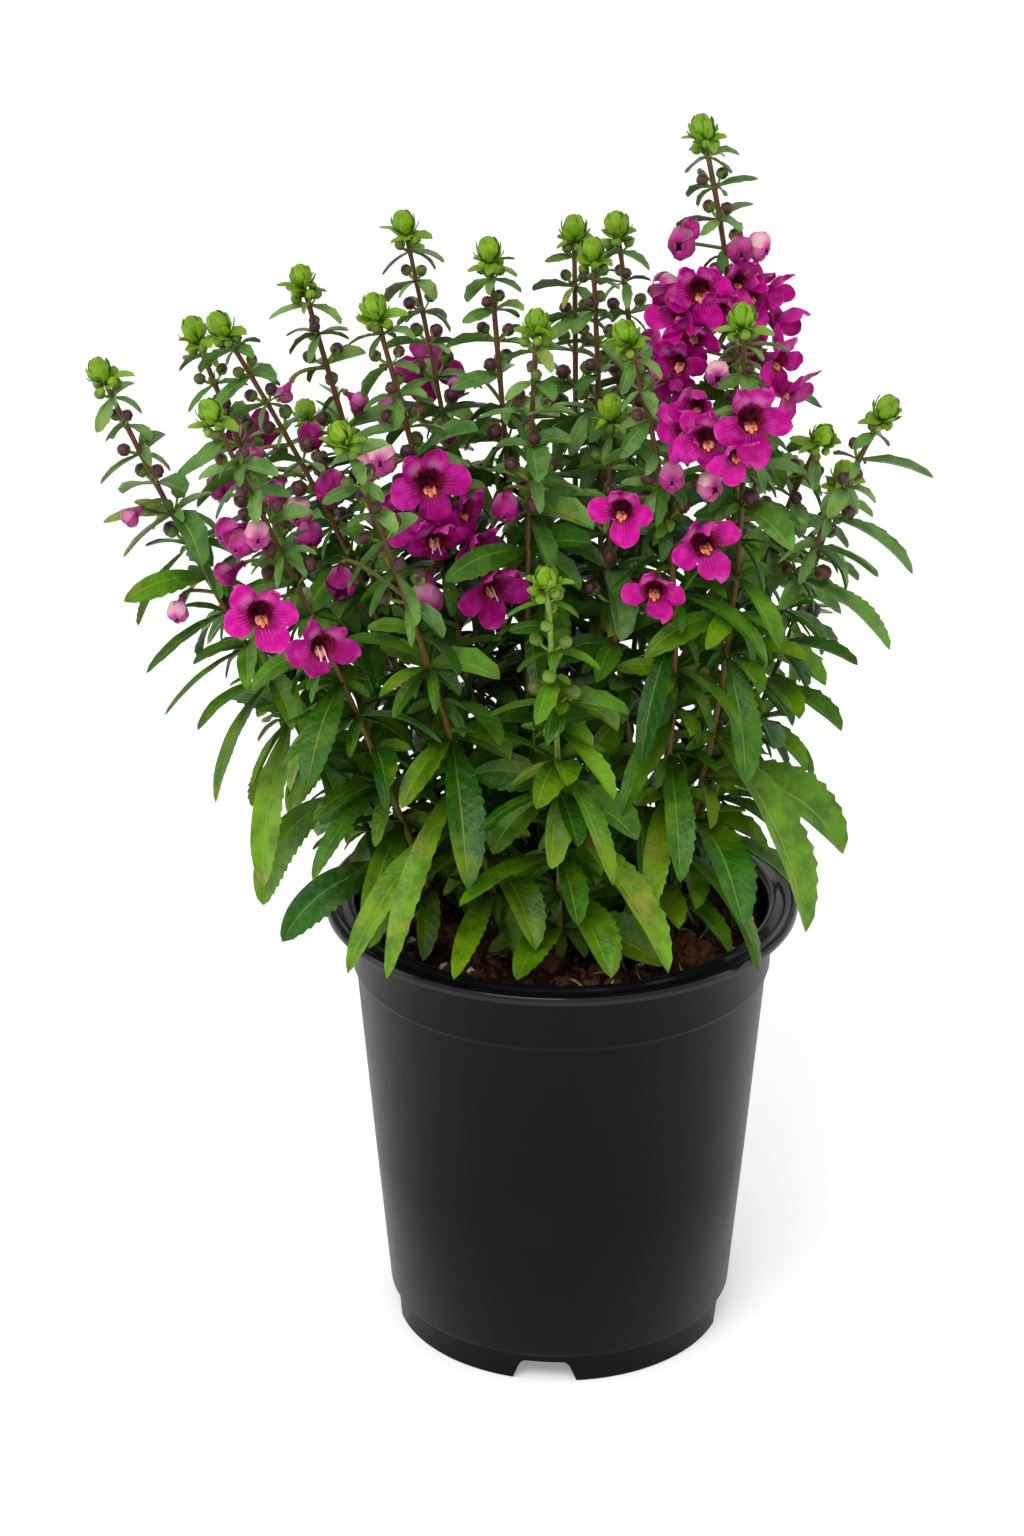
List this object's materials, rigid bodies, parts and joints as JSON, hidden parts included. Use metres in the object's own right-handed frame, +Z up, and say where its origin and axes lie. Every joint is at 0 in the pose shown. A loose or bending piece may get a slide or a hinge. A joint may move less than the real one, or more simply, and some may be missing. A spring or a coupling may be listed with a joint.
{
  "type": "potted angelonia",
  "caption": "Flowering bedding plant with upright leafy spikes of two-lipped magenta blooms, growing in soil in a round black nursery pot.",
  "frame": {"origin": "under the middle of the bounding box, on the surface the pot stands on", "axes": "+Z up along the pot's axis, -Y towards the viewer of the picture, +X to the right"},
  "size_m": [0.2822, 0.2068, 0.4415],
  "materials": {
    "pot_plastic": "matte black moulded plastic with a soft sheen",
    "potting_soil": "damp crumbly bark and peat with white perlite bits",
    "foliage": "soft satin green with paler veins",
    "petals": "velvety magenta with a dark speckled throat"
  },
  "bodies": {
    "root": {"pot": "pot_plastic", "soil": "potting_soil", "leafy_stem_01": "foliage", "leafy_stem_02": "foliage", "leafy_stem_03": "foliage", "leafy_stem_04": "foliage", "leafy_stem_05": "foliage", "leafy_stem_06": "foliage", "leafy_stem_07": "foliage", "leafy_stem_08": "foliage", "leafy_stem_09": "foliage", "leafy_stem_10": "foliage", "leafy_stem_11": "foliage", "leafy_stem_12": "foliage", "leafy_stem_13": "foliage", "leafy_stem_14": "foliage", "bloom_01": "petals", "bloom_02": "petals", "bloom_03": "petals", "bloom_04": "petals", "bloom_05": "petals", "bloom_06": "petals", "bloom_07": "petals", "bloom_08": "petals", "bloom_09": "petals", "bloom_10": "petals", "bloom_11": "petals", "bloom_12": "petals", "bloom_13": "petals", "bloom_14": "petals", "bloom_15": "petals", "bloom_16": "petals", "bloom_17": "petals", "bloom_18": "petals", "bloom_19": "petals", "bloom_20": "petals", "bloom_21": "petals", "bloom_22": "petals", "bloom_23": "petals", "bloom_24": "petals", "bloom_25": "petals", "bloom_26": "petals", "bloom_27": "petals", "bloom_28": "petals", "bloom_29": "petals", "bloom_30": "petals", "bloom_31": "petals", "bloom_32": "petals", "bloom_33": "petals", "bloom_34": "petals", "bloom_35": "petals", "bloom_36": "petals", "bloom_37": "petals", "bloom_38": "petals", "bloom_39": "petals", "bloom_40": "petals", "bloom_41": "petals", "bloom_42": "petals", "bloom_43": "petals"}
  },
  "joints": []
}
